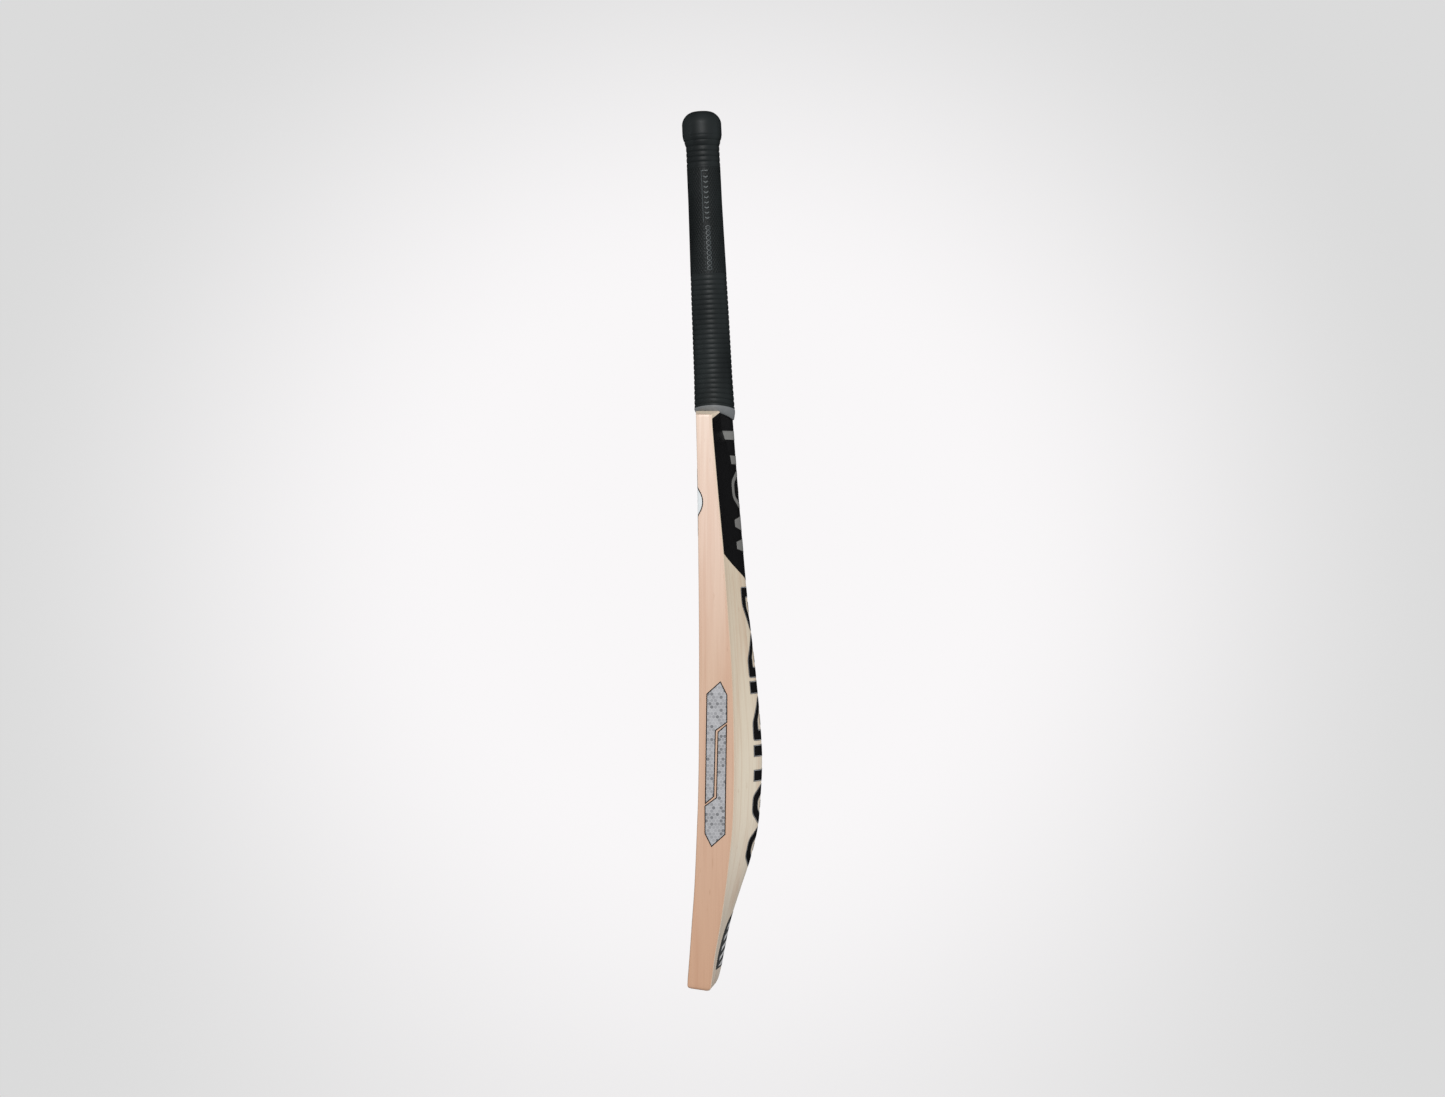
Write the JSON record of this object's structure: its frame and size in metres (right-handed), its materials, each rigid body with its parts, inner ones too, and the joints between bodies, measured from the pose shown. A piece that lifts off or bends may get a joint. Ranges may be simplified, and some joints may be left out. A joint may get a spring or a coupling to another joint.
{
  "type": "cricket bat",
  "caption": "Cricket bat with a bowed willow blade, a spine down its back, a spliced cane handle under a ribbed black rubber grip, and vinyl labels.",
  "frame": {"origin": "a point on the flat of the toe, in the plane of the hitting face and midway between the two edges", "axes": "+Z runs from the toe to the top of the handle, +Y out of the back on the spine's side, -Y out of the hitting face, +X to the right-hand edge seen from the face"},
  "size_m": [0.1084, 0.0785, 0.8513],
  "materials": {
    "willow": "satin",
    "cane": "satin",
    "insert_rubber": "matte",
    "twine": "matte",
    "tape": "matte",
    "grip_rubber": "satin",
    "cuff_rubber": "satin",
    "black_vinyl": "gloss",
    "grey_vinyl": "gloss",
    "silver_vinyl": "gloss",
    "white_vinyl": "gloss",
    "dark_vinyl": "gloss"
  },
  "bodies": {
    "root": {"blade": "willow", "cane_strip_face_left": "cane", "cane_strip_face_middle": "cane", "cane_strip_face_right": "cane", "cane_strip_second_left": "cane", "cane_strip_second_middle": "cane", "cane_strip_second_right": "cane", "cane_strip_third_left": "cane", "cane_strip_third_middle": "cane", "cane_strip_third_right": "cane", "cane_strip_back_left": "cane", "cane_strip_back_middle": "cane", "cane_strip_back_right": "cane", "rubber_insert_face": "insert_rubber", "rubber_insert_middle": "insert_rubber", "rubber_insert_back": "insert_rubber", "twine_binding": "twine", "grip_tape_lower": "tape", "grip_tape_upper": "tape", "grip": "grip_rubber", "grip_cuff": "cuff_rubber", "shoulder_panel": "black_vinyl", "panel_marks": "grey_vinyl", "back_motif_1": "black_vinyl", "back_motif_2": "black_vinyl", "back_motif_3": "black_vinyl", "back_motif_4": "black_vinyl", "back_motif_5": "black_vinyl", "back_motif_6": "black_vinyl", "back_motif_7": "black_vinyl", "back_motif_8": "black_vinyl", "edge_label_right_upper": "silver_vinyl", "edge_label_right_lower": "silver_vinyl", "edge_label_left_upper": "silver_vinyl", "edge_label_left_lower": "silver_vinyl", "face_badge": "white_vinyl", "toe_label": "dark_vinyl"}
  },
  "joints": []
}
